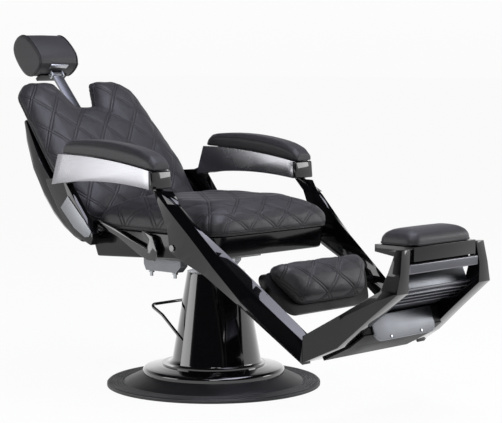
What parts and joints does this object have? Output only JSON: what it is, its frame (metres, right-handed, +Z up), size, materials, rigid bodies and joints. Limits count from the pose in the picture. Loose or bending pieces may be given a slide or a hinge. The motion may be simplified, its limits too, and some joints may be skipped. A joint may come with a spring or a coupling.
{
  "type": "reclining barber chair",
  "caption": "Reclining barber chair on a round hydraulic foot, with linked back, armrests and leg rest, sliding headrest and folding foot pad.",
  "frame": {"origin": "on the floor under the column axis", "axes": "+Z up along the column, -Y the way the sitter faces, +X to the sitter's left"},
  "size_m": [0.672, 1.6199, 1.0172],
  "materials": {
    "black_lacquer": "gloss black lacquer over cast aluminium",
    "satin_black": "satin black anodised sheet",
    "black_steel": "gloss black paint on pressed steel",
    "gloss_shell": "glossy moulded shell",
    "black_tread": "matte grooved tread",
    "satin_silver": "satin silver",
    "chrome": "polished",
    "zinc_steel": "bright zinc plate",
    "black_leather": "black upholstery leather over foam",
    "ply_board": "plain plywood"
  },
  "bodies": {
    "base": {"tread_ring": "black_tread", "floor_plate": "black_steel", "base_cone": "black_steel", "base_disc": "black_steel", "column_front_shell": "gloss_shell", "column_rear_shell": "gloss_shell", "column_cap": "gloss_shell", "pump_cylinder": "zinc_steel", "pump_bolts": "zinc_steel", "pedal_brackets": "black_steel"},
    "pedal": {"pedal_hoop": "black_steel"},
    "ram": {"hydraulic_ram": "chrome"},
    "seat": {"swivel_hub": "zinc_steel", "seat_base_plate": "black_steel", "mechanism_castings": "zinc_steel", "casting_bolts": "zinc_steel", "recline_lock": "zinc_steel", "seat_pan": "gloss_shell", "seat_cushion": "black_leather", "pivot_pins": "black_steel"},
    "lever": {"recline_lever": "black_steel", "lever_grip": "chrome"},
    "back": {"back_cushion": "black_leather", "back_board": "ply_board", "back_shell": "gloss_shell", "back_arm_left": "black_lacquer", "back_arm_right": "black_lacquer", "back_trim_left": "chrome", "back_trim_right": "chrome", "headrest_socket": "zinc_steel"},
    "headrest_bar": {"headrest_bar": "zinc_steel", "headrest_hinge_pin": "zinc_steel"},
    "headrest": {"headrest_bracket": "zinc_steel", "headrest_shell": "gloss_shell", "headrest_pad": "black_leather"},
    "armrest_left": {"armrest_core_left": "black_lacquer", "armrest_cap_left": "black_lacquer", "armrest_outer_panel_left": "satin_silver", "armrest_inner_panel_left": "satin_silver", "armrest_pad_left": "black_leather"},
    "armrest_right": {"armrest_core_right": "black_lacquer", "armrest_cap_right": "black_lacquer", "armrest_outer_panel_right": "satin_silver", "armrest_inner_panel_right": "satin_silver", "armrest_pad_right": "black_leather"},
    "leg_frame": {"side_beam_left": "black_lacquer", "side_beam_right": "black_lacquer", "foot_arm_left": "black_lacquer", "foot_arm_right": "black_lacquer", "foot_crossbar": "satin_black", "kick_panel": "satin_black", "foot_tread": "satin_black", "tread_ribs": "satin_black", "toe_plate": "satin_black", "toe_screws": "zinc_steel", "bottom_plate": "black_lacquer", "calf_shell": "gloss_shell", "calf_cushion": "black_leather"},
    "foot_pad": {"foot_tray": "gloss_shell", "foot_cushion": "black_leather"}
  },
  "joints": [
    {"name": "pedal_press", "type": "hinge", "parent": "base", "child": "pedal", "pos_m": [0, -0.024, 0.112], "axis": [-1, 0, 0], "range_deg": [0, 25], "stiffness_Nm_per_rad": 6, "springref_deg": -17.19},
    {"name": "ram_lift", "type": "slide", "parent": "base", "child": "ram", "axis": [0, 0, 1], "range_m": [0, 0.16]},
    {"name": "seat_swivel", "type": "hinge", "parent": "ram", "child": "seat", "pos_m": [0, 0, 0.35], "axis": [0, 0, 1], "continuous": true},
    {"name": "lever_lift", "type": "hinge", "parent": "seat", "child": "lever", "pos_m": [-0.262, -0.012, 0.398], "axis": [1, 0, 0], "range_deg": [0, 15], "stiffness_Nm_per_rad": 4, "springref_deg": -11.46},
    {"name": "recline", "type": "hinge", "parent": "seat", "child": "back", "pos_m": [0, 0.21, 0.43], "axis": [1, 0, 0], "range_deg": [0, 22]},
    {"name": "leg_swing", "type": "hinge", "parent": "seat", "child": "leg_frame", "pos_m": [0, -0.137, 0.43], "axis": [1, 0, 0], "range_deg": [0, 22]},
    {"name": "armrest_left_level", "type": "hinge", "parent": "leg_frame", "child": "armrest_left", "pos_m": [0.2975, -0.062, 0.604], "axis": [1, 0, 0], "range_deg": [-22, 0]},
    {"name": "armrest_right_level", "type": "hinge", "parent": "leg_frame", "child": "armrest_right", "pos_m": [-0.2975, -0.062, 0.604], "axis": [1, 0, 0], "range_deg": [-22, 0]},
    {"name": "headrest_height", "type": "slide", "parent": "back", "child": "headrest_bar", "axis": [0, 0.6561, 0.7547], "range_m": [-0.045, 0.06]},
    {"name": "headrest_tilt", "type": "hinge", "parent": "headrest_bar", "child": "headrest", "pos_m": [0, 0.67742, 0.89244], "axis": [1, 0, 0], "range_deg": [-20, 20]},
    {"name": "foot_pad_fold", "type": "hinge", "parent": "leg_frame", "child": "foot_pad", "pos_m": [0, -0.812, 0.45], "axis": [1, 0, 0], "range_deg": [0, 95]}
  ],
  "couplings": [
    {"joint": "leg_swing", "follows": "recline", "ratio": 1},
    {"joint": "armrest_left_level", "follows": "recline", "ratio": -1},
    {"joint": "armrest_right_level", "follows": "recline", "ratio": -1}
  ]
}
